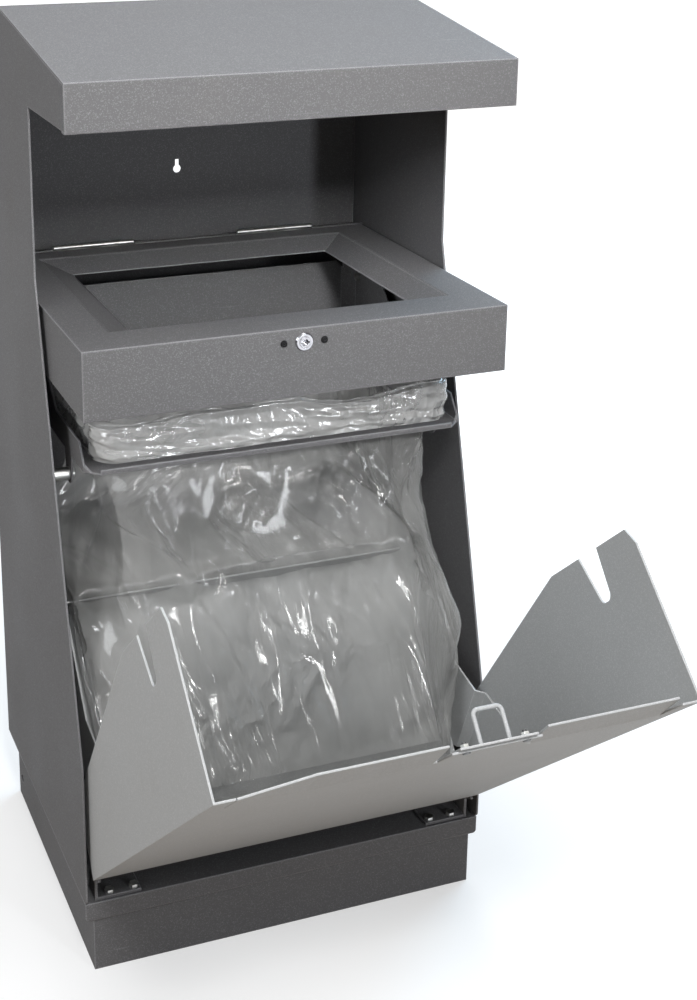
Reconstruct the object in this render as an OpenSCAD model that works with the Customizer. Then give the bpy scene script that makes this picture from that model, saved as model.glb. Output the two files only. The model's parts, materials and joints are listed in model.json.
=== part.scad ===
// Free-standing recycling bin of folded sheet steel, with a lockable hinged insert,
// a bag frame, a clear bag and a front flap that tips forward with its bag shelf.
// X is the width, Y runs from the front to the back, Z is up.
// The origin is the centre of the plinth's footprint, on the floor.

/* [Housing] */
// Outer width over the side panels
housing_w = 480; // [450:1:520]
// Distance from the plinth's front to the back of the housing
housing_depth = 389; // [375:1:420]
// Sheet thickness of the housing
sheet = 2; // [1.5:0.1:3]
// Height of the ridge of the roof
ridge_h = 1035.5; // [1010:1:1060]
// Distance from the plinth's front to the ridge
ridge_y = 262; // [200:1:320]
// Height of the roof at its back edge
back_h = 1014; // [995:1:1030]
// Height of the roof at the top of the fascia
fascia_top = 993.5; // [985:0.5:1005]
// Height of the fascia
fascia_h = 49; // [40:1:60]
// How far the fascia stands in front of the plinth
fascia_out = 20.4; // [15:0.1:40]
// How far the roof is folded down over the back
roof_back_fold = 20; // [12:1:30]
// Return lip under the fascia
fascia_lip = 12; // [8:1:20]
// Setback of the side panels' front edge beside the insert
throat_y = 134.6; // [110:1:150]
// Height where the front edge starts to slant forward
slant_top = 763; // [740:1:800]
// Height where the front edge becomes upright again
slant_bottom = 255; // [230:1:300]
// How far the lower front edge stands in front of the plinth
panel_out = 5.3; // [3:0.1:8]
// Radius of the panels' lower front corner
panel_corner_r = 8; // [4:1:14]

/* [Plinth] */
// Setback of the plinth's sides from the housing's
plinth_gap = 9; // [5:1:20]
// Setback of the plinth's back from the housing's
plinth_back_gap = 14; // [8:1:25]
// Height of the plinth, up to the floor tray
plinth_h = 85; // [70:1:110]
// Radius of the hole in each side of the plinth
plinth_hole_r = 5; // [3:0.5:7]
// Height of the tray's front lip
tray_lip_h = 22; // [15:1:30]

/* [Insert] */
// Gap between the insert and the side panels' outer faces
insert_gap = 6.5; // [5:0.5:12]
// Height of the insert's top face
insert_top = 733; // [720:1:745]
// Height of the insert's apron and skirts
insert_h = 73.5; // [60:0.5:74]
// How far the apron stands in front of the plinth
insert_out = 32.8; // [28:0.1:40]
// Sheet thickness of the insert
insert_sheet = 1.5; // [1:0.1:2]
// Distance of the hinge axis from the housing's back
hinge_back = 33; // [28:1:40]
// Length of each hinge
hinge_len = 99; // [80:1:110]
// Distance of each hinge's middle from the centre
hinge_x = 116.5; // [90:0.5:140]
// Width of the insert's flat frame at its sides
funnel_side = 41.5; // [30:0.5:55]
// Width of the insert's flat frame at its front
funnel_front = 53.8; // [40:0.1:60]
// Width of the insert's flat frame before its hinges
funnel_back = 29; // [20:1:45]
// Width of the sloping funnel, seen from above
funnel_run = 34; // [25:1:40]
// Drop of the sloping funnel
funnel_drop = 14; // [8:1:20]

/* [Lock] */
// Distance of the lock's axis below the insert's top
lock_drop = 15.2; // [14:0.1:20]
// Offset of the latch bolt from the lock's axis
latch_x = 30; // [28:0.5:36]
// Throw of the crank that moves the latch bolt
crank_r = 14; // [13:0.1:14]
// Distance between the two lock screws
lock_screw_gap = 44.6; // [42:0.2:46]

/* [Bag frame] */
// Gap between the bag frame and the side panels' outer faces
frame_gap = 23; // [18:0.5:35]
// Distance of the frame's front edge from the plinth's front
frame_front_y = 25; // [20:1:40]
// Distance of the frame's back plate from the housing's back
frame_back_gap = 49; // [44:1:60]
// Height of the frame's bottom face
frame_z = 577; // [570:1:585]
// Height of the frame's low side walls
frame_low_h = 29; // [20:1:35]
// Height of the frame's back plate
frame_back_h = 115; // [90:1:120]
// Width of the frame's flat rim
frame_rim = 30; // [20:1:34]

/* [Flap] */
// Gap between the flap and the side panels' outer faces
flap_gap = 7; // [6:0.5:14]
// Height of the flap's face
flap_h = 532; // [480:1:533]
// Sheet thickness of the flap
flap_sheet = 2; // [1.5:0.1:2.5]
// Angle by which the flap stands open
open_angle = 49.7; // [30:0.1:60]
// Depth of the flap's cheeks at the top
cheek_d = 173.5; // [160:0.5:178]
// Distance of the pivot behind the flap's face
pivot_in = 10; // [9:0.5:12]
// Distance of the pivot above the flap's lower edge
pivot_up = 17; // [15:0.5:20]
// Distance of the pivot in front of the plinth's front
pivot_out = 19.1; // [15:0.1:20]
// Height of the pivot
pivot_z = 142.3; // [138:0.1:145]
// Radius of the pivot pins
pivot_r = 3; // [2.5:0.1:3.5]
// Depth of the shelf inside the flap
shelf_d = 294; // [240:1:300]
// Height of the shelf's walls
shelf_h = 58; // [40:1:70]
// Offset of the striker from the centre
striker_x = 29.5; // [25:0.5:36]

/* [Bag] */
// Gap between the bag and the outer faces of its frame
bag_gap = 9; // [8:1:30]
// Height of the bag's bottom behind the flap's shelf
bag_low_z = 400; // [395:1:450]
// Thickness that stands for the film
film = 2; // [1.5:0.1:3]

/* [Hidden] */
$fn = 48;

// Clearance between curved faces that touch
fit = 0.3;
// Clearance of a pin in its hole
running = 0.05;
// Length that carries a cut past the faces it opens
past = 1;

panel_x = housing_w / 2;
wall_x = panel_x - sheet;
tray_top = plinth_h + sheet;
plinth_w = housing_w - 2 * plinth_gap;
plinth_depth = housing_depth - plinth_back_gap;
fascia_bottom = fascia_top - fascia_h;

insert_bottom = insert_top - insert_h;
insert_x = panel_x - insert_gap;
hinge_y = housing_depth - hinge_back;
apron_y = -insert_out;
apron_in = apron_y + insert_sheet;
knuckle_r = 3;
hinge_pin_r = 1.5;
hinge_leaf = 1.2;
hinge_leaf_h = 28;
hinge_z = insert_top + knuckle_r;
rail_y = hinge_y + 2;
rail_h = 30;
rail_top_w = 8;
insert_back_y = hinge_y - 2;
funnel_x = insert_x - funnel_side;
funnel_front_y = funnel_front - insert_out;
funnel_back_y = insert_back_y - funnel_back;

lock_z = insert_top - lock_drop;
lock_x = 0;
barrel_r = 8;
plug_r = 6;
case_left = -28;
case_right = 46;
case_front = apron_y + 11;
case_back = -2;
case_wall = 2;
case_bottom = insert_bottom + 12;
case_top = insert_top - insert_sheet - 0.5;
bolt_w = 14;
bolt_t = 5;
bolt_y = -14;
bolt_rest = insert_bottom + 2;
bolt_arm_t = 3;
crank_t = 2.4;
crank_angle = 45;
crank_pin_r = 1.5;
crank_play = 0.6;
crank_rise = crank_r * sin(crank_angle);
crank_front = case_front + 0.5;
lock_screw_r = 2;

frame_x = panel_x - frame_gap;
frame_back_y = housing_depth - frame_back_gap;
frame_chamfer = 15;
frame_hole_r = 20;
frame_inner_x = frame_x - sheet;
stud_r = 7;
front_stud_y = 103.4;
front_stud_z = 552.6;
back_stud_y = frame_back_y - 24;
back_stud_z = 675;
frame_bolt_r = 3;
frame_bolt_head_r = 5;
frame_bolt_head = 3.5;

flap_x = panel_x - flap_gap;
cheek_in = flap_x - flap_sheet;
arm_out = cheek_in;
arm_step = 12;
arm_in = arm_out - arm_step;
ear_t = 3;
ear_out = arm_out - flap_sheet - 1;
ear_in = ear_out - ear_t;
foot_t = 3;
foot_in = ear_in - 50;
foot_front = 2;
foot_back = 40;
bracket_screw_y = 9;
bracket_screw_xs = [ear_in - 43, ear_in - 15];
nut_t = 5;
striker_u = flap_h - 11;
striker_rod_r = 2;
striker_half = 16;
striker_reach = 30;
striker_screw_half = 29.5;
striker_plate_half = 9;
recess_u = flap_h - 8;
strip_u = flap_h - 44;
strip_in = 6;

bag_x = frame_x - bag_gap;

// Draws its children in a frame that starts at the plinth's front face
module from_front() {
    translate([0, -plinth_depth / 2, 0]) children();
}

// Extrudes an outline of [y, z] points along X between two planes
module across(x0, x1) {
    translate([x0, 0, 0]) rotate([90, 0, 90]) linear_extrude(x1 - x0) children();
}

// A round bar along X
module bar_x(x0, x1, y, z, r) {
    translate([x0, y, z]) rotate([0, 90, 0]) cylinder(r = r, h = x1 - x0);
}

// A round bar along Y
module bar_y(x, y0, y1, z, r) {
    translate([x, y0, z]) rotate([-90, 0, 0]) cylinder(r = r, h = y1 - y0);
}

// A box between two corners
module block(low, high) {
    translate(low) cube(high - low);
}

// Both sides of the bin, the right as drawn and the left mirrored
module both_sides() {
    children();
    mirror([1, 0, 0]) children();
}

// The flap's own frame: Y behind its face and Z up its face, tipped open about the pivot
module on_flap() {
    from_front() translate([0, -pivot_out, pivot_z]) rotate([open_angle, 0, 0])
        translate([0, -pivot_in, -pivot_up]) children();
}

// Outline of a side panel, under the roof sheet
module panel_outline() {
    difference() {
        polygon([
            [housing_depth, tray_top],
            [housing_depth, back_h - sheet],
            [ridge_y, ridge_h - sheet],
            [-fascia_out + sheet, fascia_top - sheet],
            [-fascia_out + sheet, fascia_bottom + sheet],
            [throat_y, fascia_bottom + sheet],
            [throat_y, slant_top],
            [-panel_out, slant_bottom],
            [-panel_out, tray_top]
        ]);
        translate([-panel_out, tray_top]) difference() {
            translate([-past, -past]) square(panel_corner_r + past);
            translate([panel_corner_r, panel_corner_r]) circle(r = panel_corner_r);
        }
    }
}

module side_panel() {
    across(wall_x, panel_x) difference() {
        panel_outline();
        translate([ridge_y + 8, ridge_h - 73]) circle(r = 2);
    }
}

module left_side_panel() {
    color("dimgray") from_front() mirror([1, 0, 0]) side_panel();
}

module right_side_panel() {
    color("dimgray") from_front() side_panel();
}

// Keyhole for hanging the back on a wall screw
module keyhole() {
    keyhole_z = 815;
    bar_y(0, housing_depth - sheet - past, housing_depth + past, keyhole_z, 5);
    block([-2.5, housing_depth - sheet - past, keyhole_z],
          [2.5, housing_depth + past, keyhole_z + 12]);
}

module back_panel() {
    color("dimgray") from_front() difference() {
        block([-wall_x, housing_depth - sheet, tray_top],
              [wall_x, housing_depth, back_h - sheet - 3]);
        keyhole();
    }
}

module roof() {
    color("gray") from_front() across(-panel_x, panel_x) polygon([
        [-fascia_out, fascia_bottom],
        [-fascia_out, fascia_top],
        [ridge_y, ridge_h],
        [housing_depth + sheet, back_h],
        [housing_depth + sheet, back_h - roof_back_fold],
        [housing_depth, back_h - roof_back_fold],
        [housing_depth, back_h - sheet],
        [ridge_y, ridge_h - sheet],
        [-fascia_out + sheet, fascia_top - sheet],
        [-fascia_out + sheet, fascia_bottom + sheet],
        [-fascia_out + fascia_lip, fascia_bottom + sheet],
        [-fascia_out + fascia_lip, fascia_bottom]
    ]);
}

module floor_tray() {
    lip_bottom = tray_top - tray_lip_h;
    lip_r = 4;
    color("dimgray") from_front() {
        block([-panel_x, -sheet, plinth_h], [panel_x, housing_depth, tray_top]);
        rotate([90, 0, 0]) linear_extrude(sheet) difference() {
            translate([-panel_x, lip_bottom]) square([housing_w, tray_lip_h - sheet]);
            for (side = [-1, 1])
                translate([side * panel_x, lip_bottom]) difference() {
                    square(2 * lip_r, center = true);
                    translate([-side * lip_r, lip_r]) circle(r = lip_r);
                }
        }
    }
}

module plinth() {
    color("dimgray") from_front() difference() {
        block([-plinth_w / 2, 0, 0], [plinth_w / 2, plinth_depth, plinth_h]);
        block([-plinth_w / 2 + sheet, sheet, sheet],
              [plinth_w / 2 - sheet, plinth_depth - sheet, plinth_h + past]);
        for (side = [-1, 1])
            bar_x(side * plinth_w / 2 - 2 * sheet, side * plinth_w / 2 + 2 * sheet,
                  plinth_depth - 17, 28, plinth_hole_r);
    }
}

// Fixed cross rail that carries the insert's hinges
module hinge_rail() {
    color("dimgray") from_front() {
        block([-wall_x, rail_y, insert_top - rail_h], [wall_x, rail_y + sheet, insert_top]);
        block([-wall_x, rail_y, insert_top - sheet],
              [wall_x, rail_y + rail_top_w, insert_top]);
    }
}

// Knuckles of one hinge between two shares of its length
module knuckle(from, to) {
    bar_x(-hinge_len / 2 + from * hinge_len + fit / 2, -hinge_len / 2 + to * hinge_len - fit / 2,
          hinge_y, hinge_z, knuckle_r);
}

module pin_hole() {
    bar_x(-hinge_len, hinge_len, hinge_y, hinge_z, hinge_pin_r + running);
}

module hinge_fixed_leaves() {
    color("silver") from_front() for (side = [-1, 1]) translate([side * hinge_x, 0, 0])
        difference() {
            union() {
                block([-hinge_len / 2, rail_y - hinge_leaf, hinge_z - hinge_leaf_h],
                      [hinge_len / 2, rail_y, hinge_z - knuckle_r - fit]);
                for (part = [0, 2, 4]) {
                    knuckle(part / 5, (part + 1) / 5);
                    block([-hinge_len / 2 + part * hinge_len / 5 + fit / 2, rail_y - hinge_leaf,
                           hinge_z - knuckle_r - past],
                          [-hinge_len / 2 + (part + 1) * hinge_len / 5 - fit / 2, rail_y, hinge_z]);
                }
            }
            pin_hole();
        }
}

module hinge_moving_leaves() {
    color("silver") from_front() for (side = [-1, 1]) translate([side * hinge_x, 0, 0])
        difference() {
            union() {
                block([-hinge_len / 2, insert_back_y, hinge_z - hinge_leaf_h],
                      [hinge_len / 2, insert_back_y + hinge_leaf, hinge_z - knuckle_r - fit]);
                for (part = [1, 3]) {
                    knuckle(part / 5, (part + 1) / 5);
                    block([-hinge_len / 2 + part * hinge_len / 5 + fit / 2, insert_back_y,
                           hinge_z - knuckle_r - past],
                          [-hinge_len / 2 + (part + 1) * hinge_len / 5 - fit / 2,
                           insert_back_y + hinge_leaf, hinge_z]);
                }
            }
            pin_hole();
        }
}

module hinge_pins() {
    color("silver") from_front() for (side = [-1, 1])
        bar_x(side * hinge_x - hinge_len / 2, side * hinge_x + hinge_len / 2,
              hinge_y, hinge_z, hinge_pin_r);
}

// A block that tapers downwards, for the funnel's outside and inside
module taper(grow, drop) {
    half = funnel_x + grow;
    front = funnel_front_y - grow;
    back = funnel_back_y + grow;
    run = funnel_run * drop / funnel_drop;
    intersection() {
        translate([0, back + past, 0]) rotate([90, 0, 0]) linear_extrude(back - front + 2 * past)
            polygon([
                [-half, insert_top], [half, insert_top],
                [half - run, insert_top - drop], [-half + run, insert_top - drop]
            ]);
        across(-half - past, half + past) polygon([
            [front, insert_top], [back, insert_top],
            [back - run, insert_top - drop], [front + run, insert_top - drop]
        ]);
    }
}

module insert_frame() {
    color("dimgray") from_front() difference() {
        union() {
            difference() {
                block([-insert_x, apron_y, insert_bottom], [insert_x, insert_back_y, insert_top]);
                block([-insert_x + insert_sheet, apron_in, insert_bottom - past],
                      [insert_x - insert_sheet, insert_back_y - insert_sheet,
                       insert_top - insert_sheet]);
                block([-insert_x + insert_sheet, insert_back_y - 2 * insert_sheet,
                       insert_bottom - past],
                      [insert_x - insert_sheet, insert_back_y + past, insert_top - rail_h]);
                block([-insert_x - past, back_stud_y - 2 * stud_r, insert_bottom - past],
                      [insert_x + past, insert_back_y + past, back_stud_z + 2 * stud_r]);
            }
            taper(insert_sheet, funnel_drop);
        }
        taper(0, funnel_drop + past);
        block([-funnel_x + funnel_run, funnel_front_y + funnel_run, insert_top - 2 * funnel_drop],
              [funnel_x - funnel_run, funnel_back_y - funnel_run, insert_top]);
        bar_y(lock_x, apron_y - past, apron_in + past, lock_z, barrel_r + fit);
        for (side = [-1, 1])
            bar_y(lock_x + side * lock_screw_gap / 2, apron_y - past, apron_in + past,
                  lock_z, lock_screw_r + fit);
    }
}

module lock_case() {
    color("slategray") from_front() difference() {
        block([case_left, apron_in, case_bottom], [case_right, case_back, case_top]);
        block([case_left + case_wall, case_front, case_bottom + case_wall],
              [case_right - case_wall, case_back - case_wall, case_top + past]);
        bar_y(lock_x, apron_in - past, case_front + past, lock_z, barrel_r + fit);
        block([latch_x - bolt_w / 2 - fit, bolt_y - bolt_t / 2 - fit, case_bottom - past],
              [latch_x + bolt_w / 2 + fit, bolt_y + bolt_t / 2 + fit, case_bottom + 2 * case_wall]);
        for (side = [-1, 1])
            bar_y(lock_x + side * lock_screw_gap / 2, apron_in - past, apron_in + 9,
                  lock_z, lock_screw_r + running);
    }
}

module lock_barrel() {
    color("silver") from_front() difference() {
        union() {
            bar_y(lock_x, apron_y, case_front, lock_z, barrel_r);
            translate([lock_x, apron_y, lock_z]) rotate([90, 0, 0])
                cylinder(r1 = 10, r2 = 8.6, h = 2.2);
        }
        bar_y(lock_x, apron_y - 5, case_back, lock_z, plug_r + running);
    }
}

// Plug of the lock with its keyway in front and its crank behind
module lock_plug() {
    face_y = apron_y - 2.8;
    pin_x = lock_x + crank_r * cos(crank_angle);
    pin_z = lock_z + crank_rise;
    pin_len = 6;
    color("gainsboro") from_front() {
        difference() {
            bar_y(lock_x, face_y, crank_front + crank_t, lock_z, plug_r);
            bar_y(lock_x, face_y - past, apron_y + 2, lock_z, 3.6);
            block([lock_x - 5, face_y - past, lock_z - 0.8],
                  [lock_x + 5, apron_y + 4, lock_z + 0.8]);
        }
        translate([lock_x, crank_front, lock_z]) rotate([0, -crank_angle, 0])
            block([0, 0, -2.4], [crank_r + 2, crank_t, 2.4]);
        bar_y(pin_x, crank_front, crank_front + crank_t + pin_len, pin_z, crank_pin_r);
    }
}

// Latch bolt, drawn back into the case, with the slot that takes the crank's pin
module lock_bolt() {
    slot_z = lock_z + crank_rise;
    slot_half = crank_pin_r + crank_play;
    slot_from = lock_x + crank_rise - crank_pin_r - crank_play;
    slot_to = lock_x + crank_r + crank_pin_r + crank_play;
    bevel_cut = 5;
    arm_front = crank_front + crank_t + 0.5;
    color("silver") from_front() difference() {
        union() {
            block([latch_x - bolt_w / 2, bolt_y - bolt_t / 2, bolt_rest],
                  [latch_x + bolt_w / 2, bolt_y + bolt_t / 2, slot_z + slot_half]);
            block([slot_from - 2, arm_front, slot_z - slot_half - 3],
                  [latch_x + bolt_w / 2, arm_front + bolt_arm_t, slot_z + slot_half + 0.8]);
        }
        block([slot_from, arm_front - past, slot_z - slot_half],
              [slot_to, arm_front + bolt_arm_t + past, slot_z + slot_half]);
        for (side = [-1, 1])
            translate([latch_x + side * bolt_w / 2, bolt_y, bolt_rest]) rotate([0, 45, 0])
                cube([bevel_cut, 2 * bolt_t, bevel_cut], center = true);
    }
}

module lock_screws() {
    color("black") from_front() for (side = [-1, 1])
        translate([lock_x + side * lock_screw_gap / 2, 0, 0]) difference() {
            union() {
                bar_y(0, apron_y - 0.5, apron_in + 9, lock_z, lock_screw_r);
                translate([0, apron_y, lock_z]) rotate([90, 0, 0])
                    cylinder(r1 = 4, r2 = 3, h = 2);
            }
            translate([0, apron_y - 1, lock_z]) rotate([90, 0, 0]) cylinder(r = 1.3, h = 2, $fn = 6);
        }
}

// Plan outline of the bag frame, with its corners cut off
module frame_plan(inset) {
    x = frame_x - inset;
    front = frame_front_y + inset;
    back = frame_back_y - inset;
    cut = frame_chamfer - inset * 0.6;
    polygon([
        [-x + cut, front], [x - cut, front], [x, front + cut], [x, back - cut],
        [x - cut, back], [-x + cut, back], [-x, back - cut], [-x, front + cut]
    ]);
}

// Plan outline of the frame's hole, or of the bag's neck that far inside it
module frame_hole(inset) {
    edge = frame_rim + frame_hole_r;
    hull() for (side = [-1, 1], y = [frame_front_y + edge, frame_back_y - edge])
        translate([side * (frame_x - edge), y]) circle(r = frame_hole_r - inset);
}

// Side view of the frame's walls: low beside the bag, tall at the back, lugs at the front studs
module frame_wall_profile() {
    low = frame_z + frame_low_h;
    tall = frame_z + frame_back_h;
    polygon([
        [frame_front_y + 8, frame_z],
        [frame_front_y + 32, low],
        [frame_front_y + 130, low],
        [frame_back_y - 80, tall],
        [frame_back_y + past, tall],
        [frame_back_y + past, frame_z]
    ]);
}

module frame_lug() {
    across(frame_inner_x, frame_x) hull() {
        translate([front_stud_y, front_stud_z]) circle(r = stud_r + 4);
        translate([front_stud_y - stud_r - 8, frame_z]) square([2 * stud_r + 16, sheet]);
    }
}

module bag_frame() {
    color("dimgray") from_front() difference() {
        union() {
            intersection() {
                translate([0, 0, frame_z]) linear_extrude(frame_back_h) difference() {
                    frame_plan(0);
                    frame_plan(sheet);
                }
                across(-frame_x - past, frame_x + past) frame_wall_profile();
            }
            translate([0, 0, frame_z]) linear_extrude(sheet) frame_plan(0);
            block([-frame_x + frame_chamfer, frame_front_y, frame_z],
                  [frame_x - frame_chamfer, frame_front_y + sheet, frame_z + 6]);
            both_sides() frame_lug();
        }
        translate([0, 0, frame_z - past]) linear_extrude(sheet + 2 * past)
            frame_hole(0);
        for (side = [-1, 1]) {
            bar_x(side * frame_x - 2 * sheet, side * frame_x + 2 * sheet,
                  front_stud_y, front_stud_z, frame_bolt_r + running);
            bar_x(side * frame_x - 2 * sheet, side * frame_x + 2 * sheet,
                  back_stud_y, back_stud_z, frame_bolt_r + running);
        }
        for (side = [-1, 1])
            translate([side * (frame_x - frame_chamfer / 2), frame_back_y,
                       frame_z + frame_back_h])
                rotate([0, 45, 0]) cube([22, 3 * sheet, 22], center = true);
    }
}

// One stud between the bag frame and a side panel, tapped for its bolt
module frame_stud(y, z) {
    difference() {
        bar_x(frame_x, wall_x, y, z, stud_r);
        bar_x(frame_x - past, frame_x + 12, y, z, frame_bolt_r + running);
    }
}

module frame_studs() {
    color("silver") from_front() both_sides() {
        frame_stud(front_stud_y, front_stud_z);
        frame_stud(back_stud_y, back_stud_z);
    }
}

module frame_bolt(y, z) {
    difference() {
        union() {
            bar_x(frame_inner_x - 1, frame_x + 10, y, z, frame_bolt_r);
            bar_x(frame_inner_x - frame_bolt_head, frame_inner_x, y, z, frame_bolt_head_r);
        }
        translate([frame_inner_x - frame_bolt_head - past, y, z]) rotate([0, 90, 0])
            cylinder(r = 2.3, h = 3, $fn = 6);
    }
}

module frame_bolts() {
    color("silver") from_front() both_sides() {
        frame_bolt(front_stud_y, front_stud_z);
        frame_bolt(back_stud_y, back_stud_z);
    }
}

// Place on the open flap, seen from the side, from its own height and depth
function at_open(up, behind) = [
    -pivot_out - (up - pivot_up) * sin(open_angle) + (behind - pivot_in) * cos(open_angle),
    pivot_z + (up - pivot_up) * cos(open_angle) + (behind - pivot_in) * sin(open_angle)
];

// Side view of the bag below its frame, lying over the open flap's shelf
module bag_side(inset) {
    top = frame_z - fit;
    over_shelf = 3 * flap_sheet + 6;
    offset(delta = -inset) polygon([
        [frame_front_y + 4, top],
        [frame_front_y - 17, top - 77], [frame_front_y - 28, top - 177],
        [frame_front_y - 30, top - 277],
        at_open(over_shelf + 2, 26), at_open(over_shelf, 60), at_open(over_shelf, shelf_d - 20),
        at_open(shelf_h + 10, shelf_d - 6),
        [frame_back_y - 50, bag_low_z], [frame_back_y - frame_rim + 4, bag_low_z + 25],
        [frame_back_y - frame_rim + 4, top]
    ]);
}

module cuff_plan(inset) {
    cuff_r = 24;
    side = 10 + inset;
    hull() for (x = [-1, 1], y = [0, 1])
        translate([x * (frame_x - side - cuff_r),
                   y == 0 ? frame_front_y + 4 + inset + cuff_r
                          : frame_back_y - 12 - inset - cuff_r])
            circle(r = cuff_r);
}

module bag() {
    cuff_top = 634;
    rim_top = frame_z + sheet;
    color("gainsboro") from_front() difference() {
        union() {
            across(-bag_x, bag_x) bag_side(0);
            translate([0, 0, frame_z - 4]) linear_extrude(sheet + 8) frame_hole(fit);
            translate([0, 0, rim_top + fit]) linear_extrude(cuff_top - rim_top) cuff_plan(0);
        }
        intersection() {
            across(-bag_x + film, bag_x - film) bag_side(film);
            block([-panel_x, -housing_depth, 0], [panel_x, housing_depth, frame_z - 2 * film]);
        }
        translate([0, 0, frame_z - 2 * film - past]) linear_extrude(sheet + 4 * film)
            frame_hole(fit + film);
        translate([0, 0, rim_top + film]) linear_extrude(cuff_top) cuff_plan(film);
    }
}

// Ear of a pivot bracket: an eye in front, a nose that stops the open flap, and a stem
module ear_outline() {
    stem_front = foot_front;
    difference() {
        union() {
            hull() {
                translate([-pivot_out, pivot_z]) circle(r = 7.5);
                translate([stem_front + 9, pivot_z]) circle(r = 7.5);
            }
            polygon([
                [-14.2, 120.8], [-8.4, 127.7], [-8.4, 137],
                [stem_front + 14, pivot_z], [stem_front + 26, tray_top],
                [stem_front, tray_top], [stem_front, 112]
            ]);
        }
        translate([-pivot_out, pivot_z]) circle(r = pivot_r + running);
    }
}

module pivot_bracket() {
    difference() {
        union() {
            across(ear_in, ear_out) ear_outline();
            block([foot_in, foot_front, tray_top], [ear_out, foot_back, tray_top + foot_t]);
        }
        for (x = bracket_screw_xs)
            translate([x, bracket_screw_y, tray_top - past])
                cylinder(r = 3 + running, h = foot_t + 2 * past);
    }
}

module right_pivot_bracket() {
    color("dimgray") from_front() pivot_bracket();
}

module left_pivot_bracket() {
    color("dimgray") from_front() mirror([1, 0, 0]) pivot_bracket();
}

module bracket_screws() {
    color("silver") from_front() both_sides() for (x = bracket_screw_xs)
        translate([x, bracket_screw_y, 0]) {
            translate([0, 0, tray_top]) cylinder(r = 3, h = foot_t + past);
            translate([0, 0, tray_top + foot_t]) cylinder(r = 5.5, h = 4, $fn = 6);
        }
}

// Outline of a cheek: rounded tip, slot that takes the stud, slanting back edge
module cheek_outline() {
    tip_r = 12;
    slot_top = 437.5;
    slot_low = 416.5;
    slot_in = 121;
    slot_r = 8;
    slope_top = 333;
    slope = 0.2615;
    foot_d = cheek_d - slope * (slope_top - 8);
    difference() {
        polygon([
                [0, 0], [0, flap_h],
                [cheek_d - 17, flap_h - 21.5], [cheek_d, flap_h - 34],
                [cheek_d, slope_top], [foot_d, 8], [foot_d - 8, 0]
        ]);
        hull() {
            translate([slot_in + slot_r, slot_top - slot_r]) circle(r = slot_r);
            translate([slot_in + slot_r, slot_low + slot_r - 1]) circle(r = slot_r);
            translate([cheek_d + past, slot_top - 1]) square([past, 1]);
            translate([cheek_d + past, 397]) square([past, 1]);
        }
    }
}

// Top strips of the face, leaning inwards, with a recess between them for the striker
module top_strip(x0, x1) {
    across(x0, x1) polygon([
        [0, strip_u], [flap_sheet, strip_u],
        [strip_in + flap_sheet, flap_h], [strip_in, flap_h]
    ]);
}

module flap() {
    color("silver") on_flap() {
        difference() {
            block([-flap_x, 0, 0], [flap_x, flap_sheet, flap_h]);
            block([-flap_x + 20, -past, strip_u], [striker_x - 44, 2 * flap_sheet, flap_h + past]);
            block([striker_x + 44, -past, strip_u], [flap_x - 20, 2 * flap_sheet, flap_h + past]);
            block([striker_x - 45, -past, recess_u],
                  [striker_x + 45, 2 * flap_sheet, flap_h + past]);
            for (side = [-1, 1])
                bar_y(striker_x + side * striker_screw_half, -past, 2 * flap_sheet,
                      striker_u, 2 + running);
        }
        top_strip(striker_x + 48, flap_x - 21);
        top_strip(-140, striker_x - 48);
        hull() {
            top_strip(-140.5, -139.5);
            block([-flap_x + 21, 0, strip_u], [-flap_x + 22, flap_sheet, flap_h]);
        }
        block([-flap_x + 20, 0, strip_u - past], [flap_x - 20, flap_sheet, strip_u]);
        both_sides() across(cheek_in, flap_x) cheek_outline();
        block([-arm_in + 4, 0, 0], [arm_in - 4, 22, flap_sheet]);
    }
}

// Side view of an arm: welded to the cheek in front, side wall of the shelf behind
module arm_outline() {
    polygon([
        [flap_sheet + 1, 3], [flap_sheet + 1, 70], [40, 132], [66, 133],
        [161, shelf_h], [shelf_d, shelf_h], [shelf_d, 0], [64, 0], [56, 16], [38, 3]
    ]);
}

// Cross-section of an arm over its step away from the cheek
module arm_section() {
    t = flap_sheet;
    reach = shelf_d + shelf_h;
    polygon([
        [arm_out, -reach], [arm_out, -3], [arm_in + t, 4], [arm_in + t, reach],
        [arm_in, reach], [arm_in, 3], [arm_out - t, -4], [arm_out - t, -reach]
    ]);
}

module flap_arm() {
    step_lean = 27.8;
    intersection() {
        across(arm_in - past, arm_out + past) arm_outline();
        translate([0, 103, 105]) rotate([-step_lean, 0, 0])
            linear_extrude(3 * shelf_d, center = true) arm_section();
    }
}

module right_flap_arm() {
    color("silver") on_flap() flap_arm();
}

module left_flap_arm() {
    color("silver") on_flap() mirror([1, 0, 0]) flap_arm();
}

module bag_shelf() {
    color("silver") on_flap() {
        block([-arm_in, flap_sheet, flap_sheet], [arm_in, shelf_d, 2 * flap_sheet]);
        block([-arm_in, shelf_d - flap_sheet, flap_sheet], [arm_in, shelf_d, shelf_h]);
    }
}

module pivot_pins() {
    color("silver") on_flap() both_sides() {
        bar_x(ear_in - nut_t - 1.5, arm_out - flap_sheet, pivot_in, pivot_up, pivot_r);
    }
}

module pivot_nuts() {
    color("silver") on_flap() both_sides() difference() {
        translate([ear_in - fit - nut_t, pivot_in, pivot_up]) rotate([0, 90, 0])
            cylinder(r = 5.7, h = nut_t, $fn = 6);
        bar_x(ear_in - nut_t - past - fit, ear_in, pivot_in, pivot_up, pivot_r);
    }
}

module striker_plate() {
    color("gainsboro") on_flap() difference() {
        block([striker_x - 38, flap_sheet, striker_u - striker_plate_half],
              [striker_x + 38, 2 * flap_sheet, striker_u + striker_plate_half]);
        for (side = [-1, 1])
            bar_y(striker_x + side * striker_screw_half, 0, 3 * flap_sheet,
                  striker_u, 2 + running);
    }
}

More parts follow.
